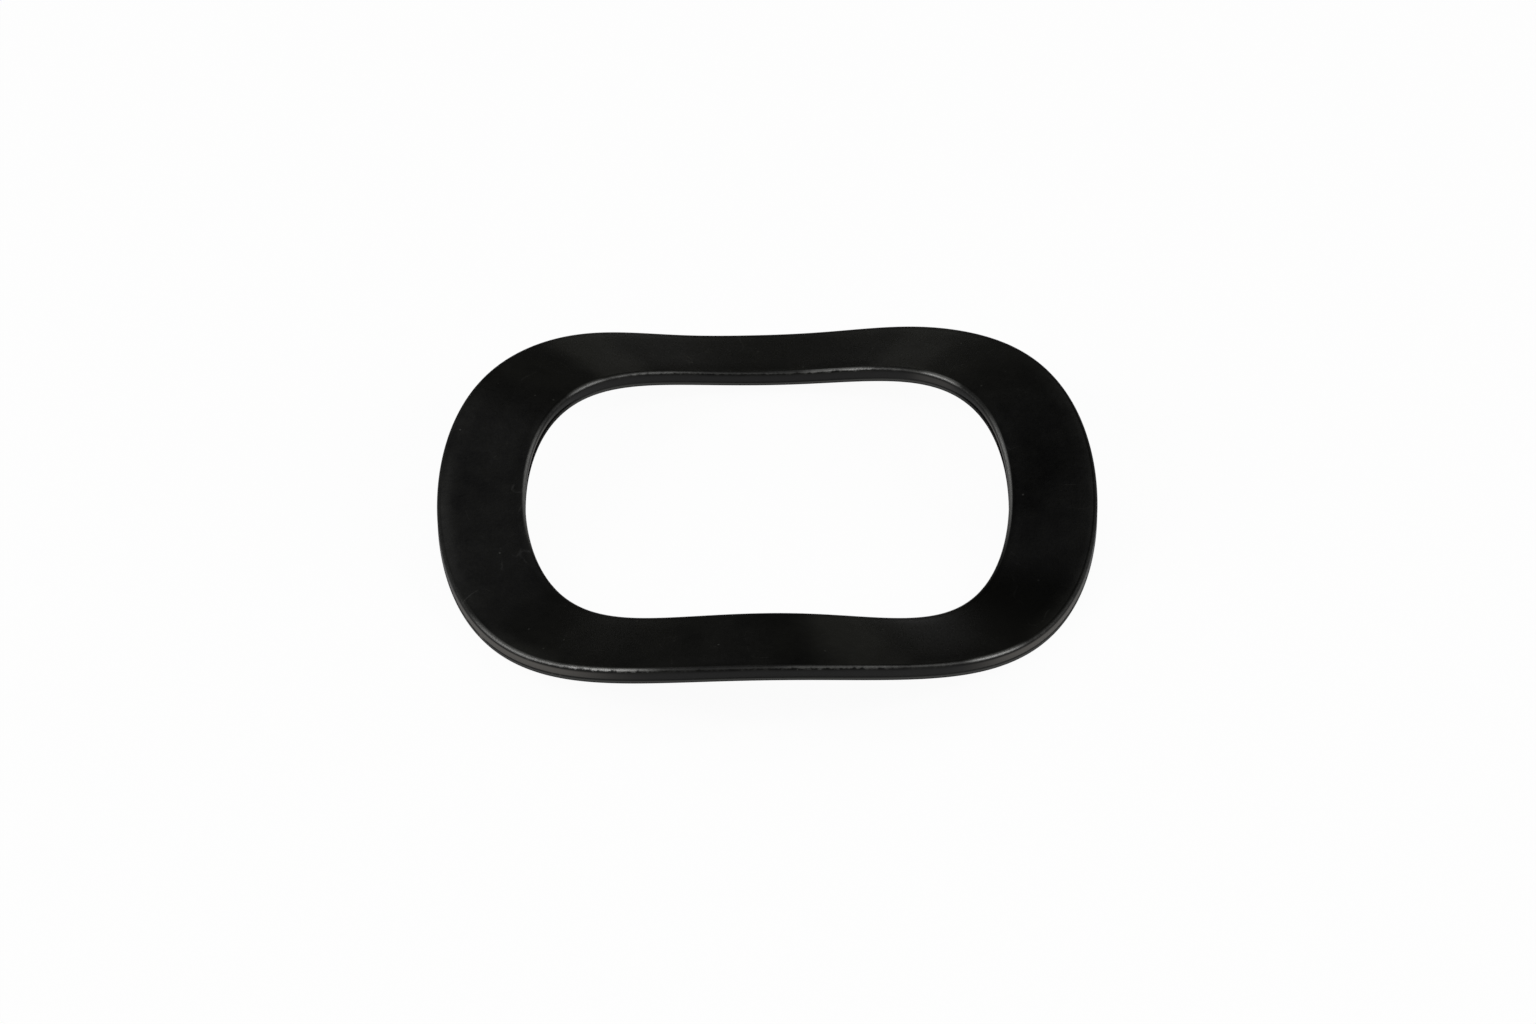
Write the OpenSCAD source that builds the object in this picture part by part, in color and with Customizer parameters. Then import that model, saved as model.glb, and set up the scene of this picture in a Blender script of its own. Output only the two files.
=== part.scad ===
// Wave spring washer: a ring of flat spring steel strip, formed into waves that flatten under load.

/* [Ring] */
// Diameter of the hole, a free fit over a 16 mm shaft
bore_d = 16.4; // [15:0.1:18]
// Outside diameter
ring_d = 22.4; // [21:0.1:26]
// Thickness of the strip, measured square to its face
strip_t = 0.58; // [0.4:0.02:0.8]
// Rounding along the four edges of the strip
edge_r = 0.13; // [0.08:0.01:0.18]

/* [Waves] */
// Number of waves round the ring
waves = 3; // [2:1:5]
// Rise of the strip from trough to crest at the outer edge
rise_out = 2.3; // [1:0.05:3.4]
// Rise of the strip from trough to crest at the hole
rise_in = 1.86; // [0.8:0.02:2.8]
// Direction of one crest, as an angle from +X
crest_at = 30; // [0:1:120]
// How far the rim of the hole stands back on the slopes between crest and trough
slope_relief = 0.03; // [0.01:0.01:0.06]

/* [Hidden] */

bore_r = bore_d / 2;
ring_r = ring_d / 2;

// Slices of the sweep: four quarter waves of ten slices each
wave_slices = 40;
slices = wave_slices * waves;
step = 360 / slices;
// Facets in the rounding of each edge
edge_steps = 4;
// The rounding meets the round walls at this angle from upright, so the sweep is made wider by the trim
edge_lead = 35.4;
trim = edge_r * (1 - cos(edge_lead));
// Each relief covers an odd number of slices about the middle of a slope
relief_arc = 7 * step;
// Facets of the round cuts, and how far they run past the part
round_fn = 180;
past = 1;

// Half the rise at a radius, growing evenly from the hole to the outer edge
function half_rise(r) = (rise_in + (rise_out - rise_in) * (r - bore_r) / (ring_r - bore_r)) / 2;

// Height of the middle of the strip
function mid_z(r, q) = half_rise(r) * cos(waves * (q - crest_at));

// Slopes of the middle of the strip, round the ring and outward
function slope_round(r, q) = -waves * half_rise(r) / r * sin(waves * (q - crest_at));
function slope_out(q) = (rise_out - rise_in) / 2 / (ring_r - bore_r) * cos(waves * (q - crest_at));

// Upright measure of the strip that keeps its thickness true on a slope
function upright(r, q) = sqrt(1 + pow(slope_round(r, q), 2) + pow(slope_out(q), 2));

// Section of the strip as [radius, offset from its middle], rounded at its four edges
function edge(r, w, from) =
    [for (j = [0 : edge_steps])
        let (a = from + 90 * j / edge_steps)
        [r + edge_r * cos(a), w + edge_r * sin(a)]];
function section() =
    let (h = strip_t / 2 - edge_r)
    let (near = bore_r - trim + edge_r)
    let (far = ring_r + trim - edge_r)
    concat(edge(far, -h, -90), edge(far, h, 0), edge(near, h, 90), edge(near, -h, 180));

function strip_z(p, q) = mid_z(p[0], q) + p[1] * upright(p[0], q);

// The washer lies on its troughs at height 0
profile = section();
rest_z = min([for (p = profile) strip_z(p, crest_at + 180 / waves)]);
free_h = -2 * rest_z;

module waved_strip() {
    n = len(profile);
    points = [for (i = [0 : slices - 1])
        let (q = crest_at + i * step)
        for (p = profile) [p[0] * cos(q), p[0] * sin(q), strip_z(p, q) - rest_z]];
    faces = [for (i = [0 : slices - 1]) for (j = [0 : n - 1])
        let (a = i * n, b = (i + 1) % slices * n, k = (j + 1) % n)
        for (f = [[a + j, a + k, b + k], [a + j, b + k, b + j]]) f];
    polyhedron(points, faces);
}

module round_wall(r) {
    translate([0, 0, -past])
        cylinder(r = r, h = free_h + 2 * past, $fn = round_fn);
}

// One shallow cut that sets the rim of the hole back on a slope
module relief() {
    rotate([0, 0, -relief_arc / 2])
        translate([0, 0, -past])
            rotate_extrude(angle = relief_arc, $fn = round_fn)
                translate([bore_r / 2, 0])
                    square([bore_r / 2 + slope_relief, free_h + 2 * past]);
}

module washer() {
    color("#171716")
        difference() {
            intersection() {
                waved_strip();
                round_wall(ring_r);
            }
            round_wall(bore_r);
            for (i = [0 : 2 * waves - 1])
                rotate([0, 0, crest_at + (i + 0.5) * 180 / waves])
                    relief();
        }
}

washer();
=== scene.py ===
import math

import bpy
from mathutils import Matrix, Vector, noise


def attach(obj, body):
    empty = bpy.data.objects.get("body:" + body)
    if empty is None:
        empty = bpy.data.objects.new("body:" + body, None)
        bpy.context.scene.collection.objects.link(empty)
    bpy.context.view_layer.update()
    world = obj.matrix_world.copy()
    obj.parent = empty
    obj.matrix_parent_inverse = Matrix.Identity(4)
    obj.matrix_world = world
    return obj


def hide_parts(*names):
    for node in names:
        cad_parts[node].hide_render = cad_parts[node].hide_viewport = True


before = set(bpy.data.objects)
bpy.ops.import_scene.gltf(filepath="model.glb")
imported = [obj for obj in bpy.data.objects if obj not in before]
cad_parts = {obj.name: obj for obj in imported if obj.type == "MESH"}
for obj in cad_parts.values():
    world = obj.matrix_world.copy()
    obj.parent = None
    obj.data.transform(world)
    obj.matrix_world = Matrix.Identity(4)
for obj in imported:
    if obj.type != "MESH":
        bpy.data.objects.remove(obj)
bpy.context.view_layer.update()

mm = 0.001


def hexToLinear(code):
    parts = [int(code[i:i + 2], 16) / 255 for i in (1, 3, 5)]
    return [p / 12.92 if p <= 0.04045 else ((p + 0.055) / 1.055) ** 2.4 for p in parts] + [1.0]


def perMm(size):
    return 1 / (size * mm)  # texture scale for a feature this many mm wide


def addNode(tree, kind, inputs=None, out=0, **settings):
    # adds a node, fills or links its inputs and hands back one of its outputs
    node = tree.nodes.new(kind)
    for name, value in settings.items():
        setattr(node, name, value)
    for socket, value in (inputs or {}).items():
        if isinstance(value, bpy.types.NodeSocket):
            tree.links.new(value, node.inputs[socket])
        else:
            node.inputs[socket].default_value = value
    return node.outputs[out] if node.outputs else None


# a Mix node's sockets for floats and for colours have the same names, so they go by number
factor, floatA, floatB, colourA, colourB = 0, 2, 3, 6, 7
mixedColour = 2

# the strip: the solid's ring and even waves, with both rims sprung a little off them
# lengths are in mm, angles in degrees round from +X
strip = {
    "boreR": 8.2,
    "ringR": 11.2,
    "thickness": 0.58,
    "riseOut": 2.3,        # trough to crest at the outer edge
    "riseIn": 1.86,        # trough to crest at the hole
    "waves": 3,
    "crestAt": 30,
    "restHeight": 1.437,   # middle of the strip above the floor
    # how far the rim of the hole sprang off the even wave, crest and trough by turns from the first crest
    "holeSet": (0.05, 0.15, -0.05, 0.1, 0.2, -0.2),
    # where the outer rim sprang off it: angle, half-length, rise
    "outerSet": [(64, 15, 0.13), (104, 10, -0.05), (125, 13, 0.09)],
    "dieRoll": 0.15,       # rounding of the upper edges, drawn in by the punch
    "shoulder": 0.5,       # the upper face falls off softly over this width before the rounding
    "shoulderDrop": 0.015,
    "lowerRound": 0.07,    # tumbled rounding of the lower edges
    "tearHeight": 0.1,     # the sheared wall ends in a torn line this far above the lower rounding
    "tearDepth": 0.015,
    "tearNibble": 0.004,   # depth of the dents along the torn line
    "tearNibbleLength": 0.14,
    "tearBand": (1.8, 0.2),  # middle and reach of those dents, in the section's count
    "nibble": 0.008,       # depth of the dents along the rubbed edges
    "nibbleLength": 0.28,
    "nibbleOver": 0.1,     # lifts the noise, so that the dents take a little more than half of the edge
    "ripple": 0.004,       # unevenness of the faces
    "rippleLength": 2.4,
    "slices": 1440,
    "faceSteps": 14,
    "rollSteps": 9,
    "lowerSteps": 5,
    "rubEverywhere": 0.04,  # oxide lost along every upper edge, as a share
    "markFade": 4,         # how squarely a mark ends
    # marks round the ring: angle, half-length, share; on the edges the share is of the oxide rubbed off
    # on the faces and margins it is painted sheen, lighter patches standing in for reflections, and below 0
    # painted shade, darker patches the shine marks are painted highlights on the rounding, the wall marks
    # painted reflections on the walls one over 1 fills the gaps that the clouds leave in a sheen patch
    # a tear's share is of the wall: its torn foot reaches higher by that much, a darker foot that hardly
    # mirrors, painted shade
    "marks": {
        # painted sheen on the faces, and painted shade where the share is below 0
        "face": [(28, 11, 0.13), (56, 7, 0.9), (127, 7, 1.4), (152, 11, 0.18), (206, 14, -0.35),
                 (286, 8, 1.25), (308, 8, -0.3), (331, 17, -0.7)],
        # painted sheen along the outer margin of the upper face, a soft highlight
        "outer paintedMargin": [(12, 23, 0.9), (187, 14, 0.9), (222, 9, 1.0), (333, 12, 1.3)],
        "outer edge": [(227, 7, 0.4), (241, 9, 0.62), (262, 26, 0.09), (281, 10, 0.36)],
        # painted highlights on the outer rounding
        "outer paintedShine": [(219, 10, 0.5), (312, 6, 0.6)],
        # painted reflections on the outer wall
        "outer wall": [(218, 22, 0.6), (326, 17, 0.55)],
        "hole edge": [(72, 9, 0.75), (95, 40, 0.19)],
        # painted highlights on the rounding of the hole
        "hole paintedShine": [(3, 17, 0.75), (42, 6, 0.7), (139, 6, 0.48), (178, 17, 0.75)],
        # painted reflections on the hole's wall
        "hole wall": [(12, 12, 0.5), (44, 7, 0.2), (168, 13, 0.5)],
        # painted shade at the foot of the hole's wall, at its ends
        "hole tear": [(9, 24, 0.33), (171, 24, 0.33)],
    },
}


def middleRadius(strip):
    return (strip["boreR"] + strip["ringR"]) / 2


def halfSection(strip):
    # upper face, rounding, wall and lower rounding on the outer side, as (radius, offset, down):
    # down counts 0 on the upper face, 1 at the top of the wall, 2 at its foot, 3 on the lower face
    half, edge, middle = strip["thickness"] / 2, strip["ringR"], middleRadius(strip)
    roll, low = strip["dieRoll"], strip["lowerRound"]
    wallTop, wallFoot = half - strip["shoulderDrop"] - roll, low - half
    points = []
    for k in range(strip["faceSteps"] // 2):
        radius = middle + (edge - roll - middle) * 2 * k / strip["faceSteps"]
        onShoulder = max(0, 1 - (edge - roll - radius) / strip["shoulder"])
        points.append((radius, half - strip["shoulderDrop"] * onShoulder ** 2, 0))
    for k in range(strip["rollSteps"] + 1):
        turn = math.radians(90 * k / strip["rollSteps"])
        offset = wallTop + roll * math.cos(turn)
        points.append((edge - roll + roll * math.sin(turn), offset, k / strip["rollSteps"]))
    tear, depth = wallFoot + strip["tearHeight"], strip["tearDepth"]
    for inset, offset in ((0, tear + depth), (depth, tear), (0, tear - depth)):
        points.append((edge - inset, offset, 1 + (wallTop - offset) / (wallTop - wallFoot)))
    for k in range(strip["lowerSteps"] + 1):
        turn = math.radians(90 * k / strip["lowerSteps"])
        offset = wallFoot - low * math.sin(turn)
        points.append((edge - low + low * math.cos(turn), offset, 2 + k / strip["lowerSteps"]))
    return points


def stripSection(strip):
    # once round the section: outward on top, back underneath and up the wall of the hole
    outer = halfSection(strip)
    inner = [(strip["boreR"] + strip["ringR"] - radius, offset, down)
             for radius, offset, down in reversed(outer)]
    start, end = outer[-1][0], inner[0][0]
    under = [(start + (end - start) * k / strip["faceSteps"], -strip["thickness"] / 2, 3)
             for k in range(1, strip["faceSteps"])]
    return outer + under + inner[:-1]


def holeSet(strip, angle):
    # runs smoothly from the set of one crest to that of the next trough
    sets = strip["holeSet"]
    turn = (math.degrees(angle) - strip["crestAt"]) / 360 * len(sets)
    step = math.floor(turn)
    here, after = sets[step % len(sets)], sets[(step + 1) % len(sets)]
    return here + (after - here) * (1 - math.cos(math.pi * (turn - step))) / 2


def outerSet(strip, angle):
    total = 0
    for at, spread, rise in strip["outerSet"]:
        total += rise * math.exp(-((math.degrees(angle) - at) / spread) ** 2)
    return total


def stripPoint(strip, radius, offset, angle):
    width = strip["ringR"] - strip["boreR"]
    gain = strip["riseOut"] - strip["riseIn"]
    out = (radius - strip["boreR"]) / width
    wave = strip["waves"] * (angle - math.radians(strip["crestAt"]))
    rise = (strip["riseIn"] + gain * out) / 2
    slopeRound = -strip["waves"] * rise / radius * math.sin(wave)
    slopeOut = gain / 2 / width * math.cos(wave)
    upright = math.sqrt(1 + slopeRound ** 2 + slopeOut ** 2)  # keeps the thickness true on the slopes
    sprung = (1 - out) * holeSet(strip, angle) + out * outerSet(strip, angle)
    height = strip["restHeight"] + rise * math.cos(wave) + sprung + offset * upright
    return Vector((radius * math.cos(angle), radius * math.sin(angle), height))


def markShare(strip, place, angle):
    # the strongest mark of this place at this angle
    share = strip["rubEverywhere"] if "edge" in place else 0
    for at, spread, most in strip["marks"].get(place, []):
        off = (math.degrees(angle) - at + 180) % 360 - 180
        mark = most * math.exp(-(off / spread) ** strip["markFade"])
        share = mark if abs(mark) > abs(share) else share
    return share


def sideShares(strip, side, angle):
    shares = {"face": markShare(strip, "face", angle)}
    for kind in ("paintedMargin", "edge", "paintedShine", "wall", "tear"):
        shares[kind] = markShare(strip, side + " " + kind, angle)
    return shares


def wornPoint(strip, share, radius, offset, down, angle):
    # a point of the strip with its dents and unevenness, in mm, and its share of wear on the edges and of
    # painted sheen, shade and reflection on the faces and walls
    at = stripPoint(strip, radius, offset, angle)
    fromMiddle = radius - middleRadius(strip)
    wearAndPaintedLight = share["face" if down == 0 else "edge" if down < 1 else "wall"]
    onRoll = math.sin(math.pi * down) if down < 1 else 0
    nibbled = max(0, noise.noise(at / strip["nibbleLength"]) + strip["nibbleOver"])
    dent = strip["nibble"] * wearAndPaintedLight * onRoll * nibbled
    tearMiddle, tearReach = strip["tearBand"]
    onTear = max(0, 1 - abs(down - tearMiddle) / tearReach)
    dent += strip["tearNibble"] * onTear * abs(noise.noise(at / strip["tearNibbleLength"]))
    if down == 0:
        # near the edge of the upper face the margin marks add painted sheen, a soft highlight
        inside = (strip["ringR"] - strip["boreR"]) / 2 - abs(fromMiddle) - strip["dieRoll"]
        wearAndPaintedLight += share["paintedMargin"] * max(0, 1 - inside / strip["shoulder"])
    if down in (0, 3):
        dip = strip["ripple"] * (1 - noise.noise(at / strip["rippleLength"]))
        offset += -dip if down == 0 else dip  # into the strip, so a face never stands proud
    inward = -1 if fromMiddle > 0 else 1
    drop = dent if offset > 0 else -dent
    return stripPoint(strip, radius + inward * dent, offset - drop, angle), wearAndPaintedLight


def buildStrip(strip):
    section = stripSection(strip)
    slices, count, middle = strip["slices"], len(section), middleRadius(strip)
    verts, faces = [], []
    traits = {"down": [], "wearAndPaintedLight": [], "paintedShine": [], "tear": []}
    for i in range(slices):
        angle = 2 * math.pi * i / slices
        shares = {side: sideShares(strip, side, angle) for side in ("outer", "hole")}
        for radius, offset, down in section:
            share = shares["outer" if radius > middle else "hole"]
            point, wearAndPaintedLight = wornPoint(strip, share, radius, offset, down, angle)
            verts.append(point * mm)
            traits["down"].append(down)
            traits["wearAndPaintedLight"].append(wearAndPaintedLight)
            traits["paintedShine"].append(share["paintedShine"])
            traits["tear"].append(share["tear"])
        here, after = i * count, (i + 1) % slices * count
        for j in range(count):
            k = (j + 1) % count
            faces.append((here + j, here + k, after + k, after + j))
    mesh = bpy.data.meshes.new("washerStrip")
    mesh.from_pydata(verts, [], faces)
    for name, values in traits.items():
        mesh.attributes.new(name, "FLOAT", "POINT").data.foreach_set("value", values)
    mesh.polygons.foreach_set("use_smooth", [True] * len(faces))
    mesh.update()
    piece = bpy.data.objects.new("washerStrip", mesh)
    bpy.context.scene.collection.objects.link(piece)
    return piece


washerStrip = buildStrip(strip)
print("strip built,", len(washerStrip.data.polygons), "faces")

# black oxide on blanked spring steel, tumbled and oiled: a near-black satin metal with a dim mirror,
# faintly clouded where the bath took unevenly, greyer on the sheared walls, and rubbed bare on the edges;
# over that, painted sheen and shade on the faces, painted highlights on the roundings, painted reflections
# on the walls and along the burr, and painted shade at the foot of the hole's wall
oxide = {
    "dark": "#191919",
    "light": "#242423",
    # painted sheen on the faces, standing in for reflections
    "paintedSheen": "#363635",
    "speck": "#4a4a49",
    "hairline": "#343433",
    # painted shade on the faces
    "paintedShade": "#0e0e0e",
    "wall": "#262626",
    # painted reflection on the walls
    "wallPaintedReflection": "#6c6965",
    "tear": "#242424",
    # the burr line, its colour lightened into a painted reflection of the floor
    "burrAndPaintedReflection": "#40403f",
    # bare steel on the rubbed edges, and painted highlight where the shine marks lie
    "bareSteelAndHighlight": "#747473",
    "glance": "#d3d3d3",      # the oxide dulls the mirror at glancing angles
    "paintedShadeGlance": "#181818",  # painted shade: where the tear marks raise the torn foot it hardly mirrors at all
    "cloudMm": 1.6,
    "cloudDetail": 8,
    "cloudRough": 0.72,
    "cloudSpan": (0.35, 0.68),  # noise of the darkest and the lightest clouds
    "paintedSheenLeast": 0.5,         # how far a painted sheen patch shows on the darkest clouds
    "speckMm": 0.9,
    "speckSize": (0.05, 0.02),  # rim and bare middle of a speck, as shares of their spacing
    "hairlineMm": 3.2,        # spacing of the hairlines before most of them are left out
    "hairlineShare": 0.004,   # their width, as a share of it
    "hairlineClouds": (0.55, 0.9),  # they come out on the lighter clouds alone
    "tornClouds": 0.3,        # the tear is darker on all but the darkest clouds
    "paintedShadeHigh": 0.2,          # painted shade: a tear mark this much higher has lost its mirror
    "nibbleMm": 0.2,          # patches left on the rubbed edges
    "nibbleDetail": 3,
    "nibbleRough": 0.6,
    "nibbleSpan": (0.3, 0.7),
    "patchSpan": (0.3, 0.6),
    "patchLeast": 0.75,
    "grainMm": 0.11,          # drawn coarser than the real bath grain, which is too fine to show
    "grainDetail": 3,
    "grainSpan": (0.3, 0.7),
    "grainDepthMm": 0.01,
    "grainStrength": 0.28,
    "faceRough": (0.26, 0.36),
    "edgeRough": 0.42,
    "wallRough": 0.5,
    # where each band sets in and where it is full, in the section's count down from the upper face
    "onFace": (0.1, 0.0),
    "onRoll": (0.05, 0.3),
    "onWall": (0.9, 1.12),
    "onTear": (1.6, 1.66),
    "onBurr": (1.8, 1.86),
    "under": (1.98, 2.1),
    "roughWall": (0.8, 1.0),
    "roughUnder": (2.6, 3.0),
    "raggedEnd": (0.47, 0.86),  # the bare band of a rubbed edge ends between these
    "raggedFade": 0.1,
    "paintedHighlightEnd": (0.84, 0.58),  # and the painted highlight fades out over this
}


def faceColour(tree, oxide, here, read, cloud):
    # painted sheen: lighter patches standing in for reflections on the faces, broken up by the clouds
    onFace = addNode(tree, "ShaderNodeMapRange", {
        "Value": read["down"], "From Min": oxide["onFace"][0], "From Max": oxide["onFace"][1]})
    paintedSheen = addNode(tree, "ShaderNodeMath", {0: onFace, 1: read["wearAndPaintedLight"]}, operation="MULTIPLY")
    broken = addNode(tree, "ShaderNodeMapRange", {
        "Value": cloud, "To Min": oxide["paintedSheenLeast"], "To Max": 1.0})
    paintedSheen = addNode(tree, "ShaderNodeMath", {0: paintedSheen, 1: broken}, operation="MULTIPLY")
    # a few pale specks of bare metal
    speck = addNode(tree, "ShaderNodeTexVoronoi", {
        "Vector": here, "Scale": perMm(oxide["speckMm"])}, out="Distance")
    speck = addNode(tree, "ShaderNodeMapRange", {
        "Value": speck, "From Min": oxide["speckSize"][0], "From Max": oxide["speckSize"][1]})
    # faint curved hairlines from handling, here and there
    bent = addNode(tree, "ShaderNodeTexNoise", {
        "Vector": here, "Scale": perMm(oxide["hairlineMm"])}, out="Color")
    bent = addNode(tree, "ShaderNodeVectorMath", {
        0: bent, 1: [oxide["hairlineMm"] * mm] * 3}, operation="MULTIPLY")
    bent = addNode(tree, "ShaderNodeVectorMath", {0: here, 1: bent}, operation="ADD")
    line = addNode(tree, "ShaderNodeTexVoronoi", {
        "Vector": bent, "Scale": perMm(oxide["hairlineMm"])}, out="Distance", feature="DISTANCE_TO_EDGE")
    line = addNode(tree, "ShaderNodeMapRange", {
        "Value": line, "From Min": 2 * oxide["hairlineShare"], "From Max": oxide["hairlineShare"]})
    left = addNode(tree, "ShaderNodeMapRange", {
        "Value": cloud, "From Min": oxide["hairlineClouds"][0], "From Max": oxide["hairlineClouds"][1]})
    line = addNode(tree, "ShaderNodeMath", {0: line, 1: left}, operation="MULTIPLY")
    # painted shade: darker patches where the face marks go below 0, over the other marks too
    paintedShade = addNode(tree, "ShaderNodeMapRange", {"Value": read["wearAndPaintedLight"], "From Min": 0.0, "From Max": -1.0})
    paintedShade = addNode(tree, "ShaderNodeMath", {0: onFace, 1: paintedShade}, operation="MULTIPLY")
    colour = addNode(tree, "ShaderNodeMix", {
        factor: cloud, colourA: hexToLinear(oxide["dark"]), colourB: hexToLinear(oxide["light"])},
        out=mixedColour, data_type="RGBA")
    for share, tone in ((paintedSheen, "paintedSheen"), (speck, "speck"), (line, "hairline"), (paintedShade, "paintedShade")):
        colour = addNode(tree, "ShaderNodeMix", {
            factor: share, colourA: colour, colourB: hexToLinear(oxide[tone])},
            out=mixedColour, data_type="RGBA")
    return colour


def wallColour(tree, oxide, read, cloud, colour):
    # the sheared wall, paler where the wall marks lay painted reflections on it, the torn line near its
    # foot, darker and raised as painted shade at the ends of the hole, the burr under that, a paler line of
    # painted floor reflection, and the lower face
    wall = addNode(tree, "ShaderNodeMix", {
        factor: read["wearAndPaintedLight"], colourA: hexToLinear(oxide["wall"]), colourB: hexToLinear(oxide["wallPaintedReflection"])},
        out=mixedColour, data_type="RGBA")
    torn = addNode(tree, "ShaderNodeMapRange", {"Value": cloud, "From Max": oxide["tornClouds"]})
    tear = addNode(tree, "ShaderNodeMix", {
        factor: torn, colourA: wall, colourB: hexToLinear(oxide["tear"])}, out=mixedColour, data_type="RGBA")
    bands = (
        (read["down"], "onWall", wall),
        (read["foot"], "onTear", tear),
        (read["down"], "onBurr", hexToLinear(oxide["burrAndPaintedReflection"])),
        (read["down"], "under", hexToLinear(oxide["dark"])),
    )
    for height, span, band in bands:
        below = addNode(tree, "ShaderNodeMapRange", {
            "Value": height, "From Min": oxide[span][0], "From Max": oxide[span][1]})
        colour = addNode(tree, "ShaderNodeMix", {
            factor: below, colourA: colour, colourB: band}, out=mixedColour, data_type="RGBA")
    return colour


def bareAndHighlightShare(tree, oxide, here, read):
    # steel rubbed bare on the rounding, ragged toward the wall and patchy along the edge
    nibble = addNode(tree, "ShaderNodeTexNoise", {
        "Vector": here, "Scale": perMm(oxide["nibbleMm"]),
        "Detail": oxide["nibbleDetail"], "Roughness": oxide["nibbleRough"]}, out="Fac")
    ragged = addNode(tree, "ShaderNodeMapRange", {
        "Value": nibble, "From Min": oxide["nibbleSpan"][0], "From Max": oxide["nibbleSpan"][1],
        "To Min": oxide["raggedEnd"][0], "To Max": oxide["raggedEnd"][1]})
    past = addNode(tree, "ShaderNodeMath", {0: read["down"], 1: ragged}, operation="SUBTRACT")
    bare = addNode(tree, "ShaderNodeMapRange", {
        "Value": past, "From Min": oxide["raggedFade"], "From Max": -oxide["raggedFade"]})
    onRoll = addNode(tree, "ShaderNodeMapRange", {
        "Value": read["down"], "From Min": oxide["onRoll"][0], "From Max": oxide["onRoll"][1]})
    patchy = addNode(tree, "ShaderNodeMapRange", {
        "Value": nibble, "From Min": oxide["patchSpan"][0], "From Max": oxide["patchSpan"][1],
        "To Min": oxide["patchLeast"], "To Max": 1.0})
    for share in (onRoll, read["wearAndPaintedLight"], patchy):
        bare = addNode(tree, "ShaderNodeMath", {0: bare, 1: share}, operation="MULTIPLY")
    # painted highlight: where the shine marks lie, an even pale band on the rounding
    paintedHighlight = addNode(tree, "ShaderNodeMapRange", {
        "Value": read["down"], "From Min": oxide["paintedHighlightEnd"][0], "From Max": oxide["paintedHighlightEnd"][1]})
    for share in (onRoll, read["paintedShine"]):
        paintedHighlight = addNode(tree, "ShaderNodeMath", {0: paintedHighlight, 1: share}, operation="MULTIPLY")
    return addNode(tree, "ShaderNodeMath", {0: bare, 1: paintedHighlight}, operation="MAXIMUM")


def satinRoughness(tree, oxide, read, grain):
    # satin on both faces, duller on the edges and on the walls
    satin = addNode(tree, "ShaderNodeMapRange", {
        "Value": grain, "From Min": oxide["grainSpan"][0], "From Max": oxide["grainSpan"][1],
        "To Min": oxide["faceRough"][0], "To Max": oxide["faceRough"][1]})
    rough = satin
    bands = (("onRoll", oxide["edgeRough"]), ("roughWall", oxide["wallRough"]), ("roughUnder", satin))
    for span, band in bands:
        below = addNode(tree, "ShaderNodeMapRange", {
            "Value": read["down"], "From Min": oxide[span][0], "From Max": oxide[span][1]})
        rough = addNode(tree, "ShaderNodeMix", {factor: below, floatA: rough, floatB: band})
    return rough


def glanceTint(tree, oxide, read):
    # how much mirrors at glancing angles, hardly any where the tear marks raise the torn foot: painted shade
    # at the foot of the hole's wall
    torn = addNode(tree, "ShaderNodeMapRange", {
        "Value": read["foot"], "From Min": oxide["onTear"][0], "From Max": oxide["onTear"][1]})
    high = addNode(tree, "ShaderNodeMapRange", {"Value": read["tear"], "From Max": oxide["paintedShadeHigh"]})
    torn = addNode(tree, "ShaderNodeMath", {0: torn, 1: high}, operation="MULTIPLY")
    return addNode(tree, "ShaderNodeMix", {
        factor: torn, colourA: hexToLinear(oxide["glance"]), colourB: hexToLinear(oxide["paintedShadeGlance"])},
        out=mixedColour, data_type="RGBA")


def blackOxideSteel(oxide):
    mat = bpy.data.materials.new("blackOxideSteel")
    mat.use_nodes = True
    tree = mat.node_tree
    tree.nodes.clear()
    here = addNode(tree, "ShaderNodeTexCoord", out="Object")
    read = {}
    for name in ("down", "wearAndPaintedLight", "paintedShine", "tear"):
        read[name] = addNode(tree, "ShaderNodeAttribute", out="Fac", attribute_name=name)
    read["foot"] = addNode(tree, "ShaderNodeMath", {0: read["down"], 1: read["tear"]}, operation="ADD")
    # clouds left by the bath
    cloud = addNode(tree, "ShaderNodeTexNoise", {
        "Vector": here, "Scale": perMm(oxide["cloudMm"]),
        "Detail": oxide["cloudDetail"], "Roughness": oxide["cloudRough"]}, out="Fac")
    cloud = addNode(tree, "ShaderNodeMapRange", {
        "Value": cloud, "From Min": oxide["cloudSpan"][0], "From Max": oxide["cloudSpan"][1]})
    colour = faceColour(tree, oxide, here, read, cloud)
    colour = wallColour(tree, oxide, read, cloud, colour)
    # the pale band on the rounding: rubbed bare steel, and painted highlight where the shine marks lie
    bare = bareAndHighlightShare(tree, oxide, here, read)
    colour = addNode(tree, "ShaderNodeMix", {
        factor: bare, colourA: colour, colourB: hexToLinear(oxide["bareSteelAndHighlight"])},
        out=mixedColour, data_type="RGBA")
    grain = addNode(tree, "ShaderNodeTexNoise", {
        "Vector": here, "Scale": perMm(oxide["grainMm"]), "Detail": oxide["grainDetail"]}, out="Fac")
    bump = addNode(tree, "ShaderNodeBump", {
        "Height": grain, "Strength": oxide["grainStrength"], "Distance": oxide["grainDepthMm"] * mm})
    rough = satinRoughness(tree, oxide, read, grain)
    glance = glanceTint(tree, oxide, read)
    shader = addNode(tree, "ShaderNodeBsdfPrincipled", {
        "Base Color": colour, "Metallic": 1.0, "Roughness": rough, "Normal": bump, "Specular Tint": glance})
    addNode(tree, "ShaderNodeOutputMaterial", {"Surface": shader})
    return mat


washerStrip.data.materials.append(blackOxideSteel(oxide))
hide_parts("washer")
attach(washerStrip, "root")
print("black oxide steel on the strip")

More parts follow.
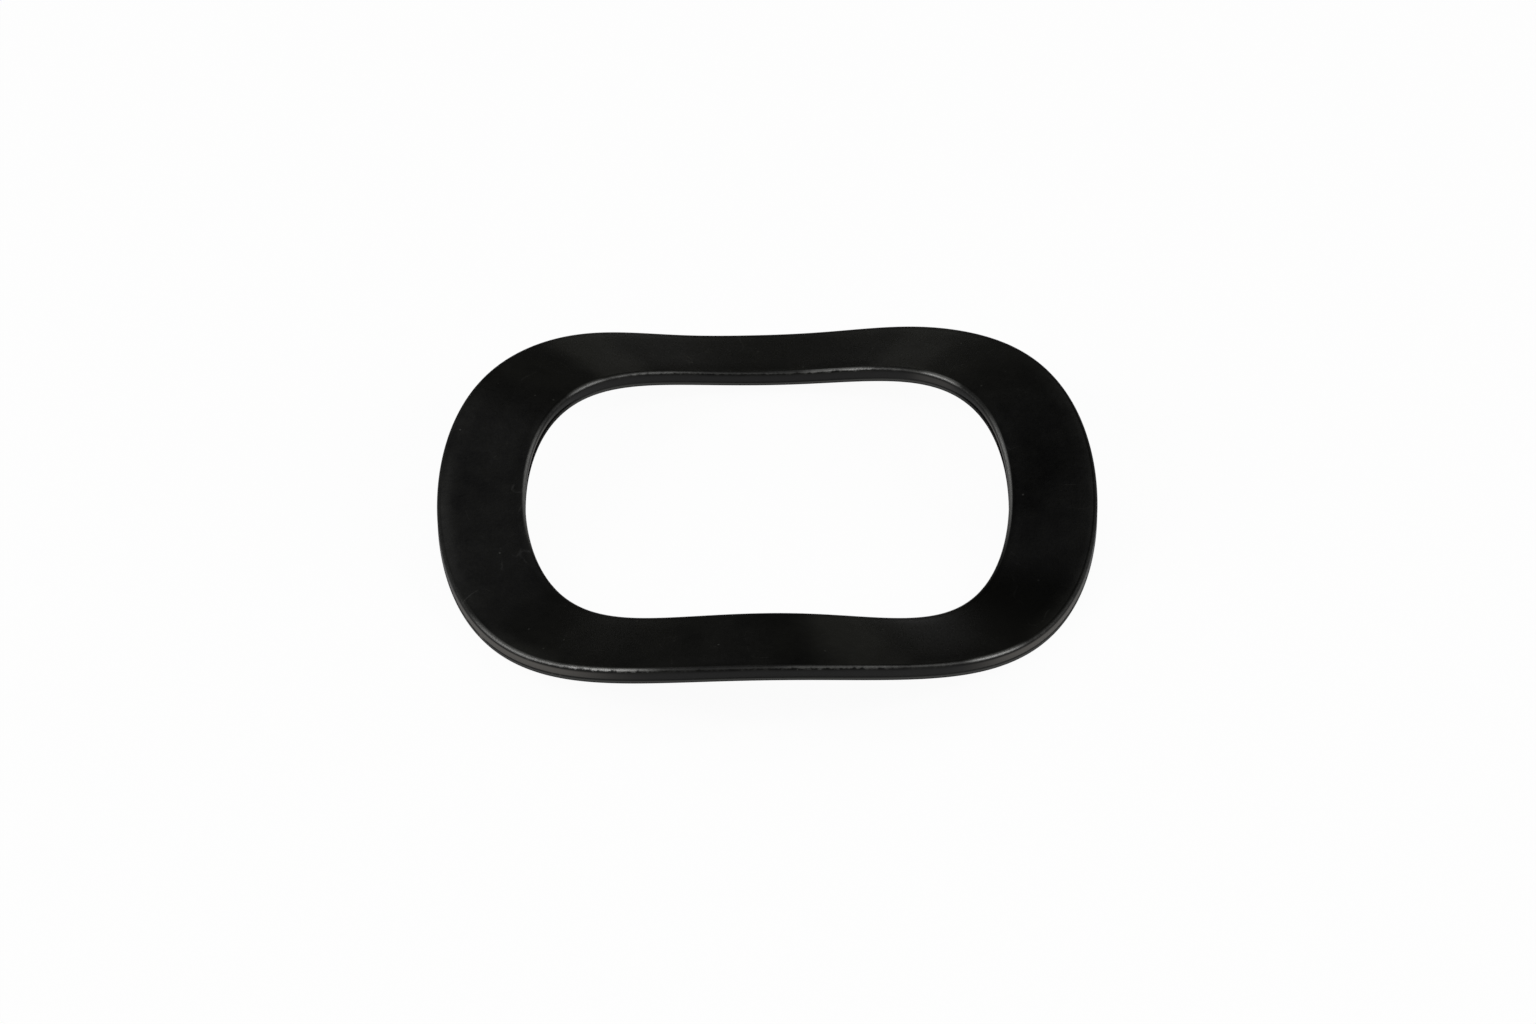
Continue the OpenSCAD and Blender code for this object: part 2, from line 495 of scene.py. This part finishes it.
# white matt board under the washer, its side in metres
board = {
    "side": 6.0,
    "colour": "#f4f4f4",
    "glow": 0.95,  # share of plain white in what the camera and the mirrors see of it
}


def whiteBoard(board):
    half = board["side"] / 2
    mesh = bpy.data.meshes.new("board")
    mesh.from_pydata(
        [(-half, -half, 0), (half, -half, 0), (half, half, 0), (-half, half, 0)], [], [(0, 1, 2, 3)])
    piece = bpy.data.objects.new("board", mesh)
    bpy.context.scene.collection.objects.link(piece)
    mat = bpy.data.materials.new("mattWhiteBoard")
    mat.use_nodes = True
    tree = mat.node_tree
    tree.nodes.clear()
    matt = addNode(tree, "ShaderNodeBsdfDiffuse", {"Color": hexToLinear(board["colour"])})
    white = addNode(tree, "ShaderNodeEmission", {"Color": (1, 1, 1, 1), "Strength": 1.0})
    seen = addNode(tree, "ShaderNodeLightPath", out="Is Camera Ray")
    for ray in ("Is Glossy Ray", "Is Transmission Ray"):
        other = addNode(tree, "ShaderNodeLightPath", out=ray)
        seen = addNode(tree, "ShaderNodeMath", {0: seen, 1: other}, operation="MAXIMUM")
    share = addNode(tree, "ShaderNodeMath", {0: seen, 1: board["glow"]}, operation="MULTIPLY")
    top = addNode(tree, "ShaderNodeMixShader", {0: share, 1: matt, 2: white})
    # the underside lets the view from below through
    fromBelow = addNode(tree, "ShaderNodeNewGeometry", out="Backfacing")
    clear = addNode(tree, "ShaderNodeBsdfTransparent")
    both = addNode(tree, "ShaderNodeMixShader", {0: fromBelow, 1: top, 2: clear})
    addNode(tree, "ShaderNodeOutputMaterial", {"Surface": both})
    mesh.materials.append(mat)


whiteBoard(board)
print("board laid")

# studio: a dim surround, darker overhead, two diffusers above and a tall softbox on each side, in metres
studio = {
    "low": "#8b8b85",
    "high": "#6c6c6c",
    "darkens": (0.5, 0.85),  # heights on a sphere of radius 1 between which the surround darkens
    "boxes": [
        {"name": "backDiffuser", "at": (-0.15, 0.18, 0.35), "size": (0.3, 0.25), "radiance": 0.78},
        {"name": "frontDiffuser", "at": (0, -0.2, 0.28), "size": (0.5, 0.22), "radiance": 1.0},
        {"name": "leftBox", "at": (-0.32, -0.03, 0.13), "size": (0.12, 0.24), "radiance": 7.0},
        {"name": "rightBox", "at": (0.32, -0.03, 0.13), "size": (0.12, 0.24), "radiance": 7.0},
    ],
}


def lightStudio(studio):
    scene = bpy.context.scene
    world = bpy.data.worlds.new("surround")
    world.use_nodes = True
    tree = world.node_tree
    direction = addNode(tree, "ShaderNodeTexCoord", out="Generated")
    height = addNode(tree, "ShaderNodeSeparateXYZ", {0: direction}, out="Z")
    above = addNode(tree, "ShaderNodeMapRange", {
        "Value": height, "From Min": studio["darkens"][0], "From Max": studio["darkens"][1]})
    shade = addNode(tree, "ShaderNodeMix", {
        factor: above, colourA: hexToLinear(studio["low"]), colourB: hexToLinear(studio["high"])},
        out=mixedColour, data_type="RGBA")
    tree.links.new(shade, tree.nodes["Background"].inputs["Color"])
    scene.world = world
    for box in studio["boxes"]:
        data = bpy.data.lights.new(box["name"], "AREA")
        data.shape = "RECTANGLE"
        data.size, data.size_y = box["size"]
        data.energy = box["radiance"] * math.pi * data.size * data.size_y
        lamp = bpy.data.objects.new(box["name"], data)
        lamp.location = box["at"]
        lamp.rotation_mode = "QUATERNION"
        lamp.rotation_quaternion = (-Vector(box["at"])).to_track_quat("-Z", "Y")  # towards the washer
        scene.collection.objects.link(lamp)


lightStudio(studio)
print("lamps set")

# the photograph's view, matched to the outline of the ring
cameraView = {
    "frame": (1536, 1024),
    "elevation": 36.02,
    "roll": 0.811,
    "distance": 16,              # in outside radii
    "pixelsPerRadius": 329.94,
    "centre": (767.13, 497.94),  # where the middle of the ring falls in the frame
    "sensorMm": 36,
    "clip": (0.005, 20),         # in metres
}


def placeCamera(view, strip):
    elevation, roll = math.radians(view["elevation"]), math.radians(view["roll"])
    back = Vector((0, -math.cos(elevation), math.sin(elevation)))
    level = Vector((1, 0, 0))
    rising = Vector((0, math.sin(elevation), math.cos(elevation)))
    right = math.cos(roll) * level - math.sin(roll) * rising
    up = math.sin(roll) * level + math.cos(roll) * rising
    turn = Matrix((right, up, back)).transposed()
    # aim a little off the middle of the ring, so it falls where it does in the frame
    focal = view["pixelsPerRadius"] * view["distance"]  # in pixels
    aside = (view["centre"][0] - view["frame"][0] / 2) / focal
    above = (view["frame"][1] / 2 - view["centre"][1]) / focal
    aim = Matrix.Rotation(math.atan(aside), 3, "Y") @ Matrix.Rotation(-math.atan(above), 3, "X")
    data = bpy.data.cameras.new("photoCamera")
    data.sensor_width = view["sensorMm"]
    data.lens = focal / view["frame"][0] * data.sensor_width
    data.clip_start, data.clip_end = view["clip"]
    camera = bpy.data.objects.new("photoCamera", data)
    place = Vector((0, 0, strip["restHeight"] * mm)) + back * view["distance"] * (strip["ringR"] * mm)
    camera.matrix_world = Matrix.Translation(place) @ (turn @ aim).to_4x4()
    bpy.context.scene.collection.objects.link(camera)
    bpy.context.scene.camera = camera


placeCamera(cameraView, strip)
bpy.context.scene.view_settings.view_transform = "Standard"
print("camera placed")
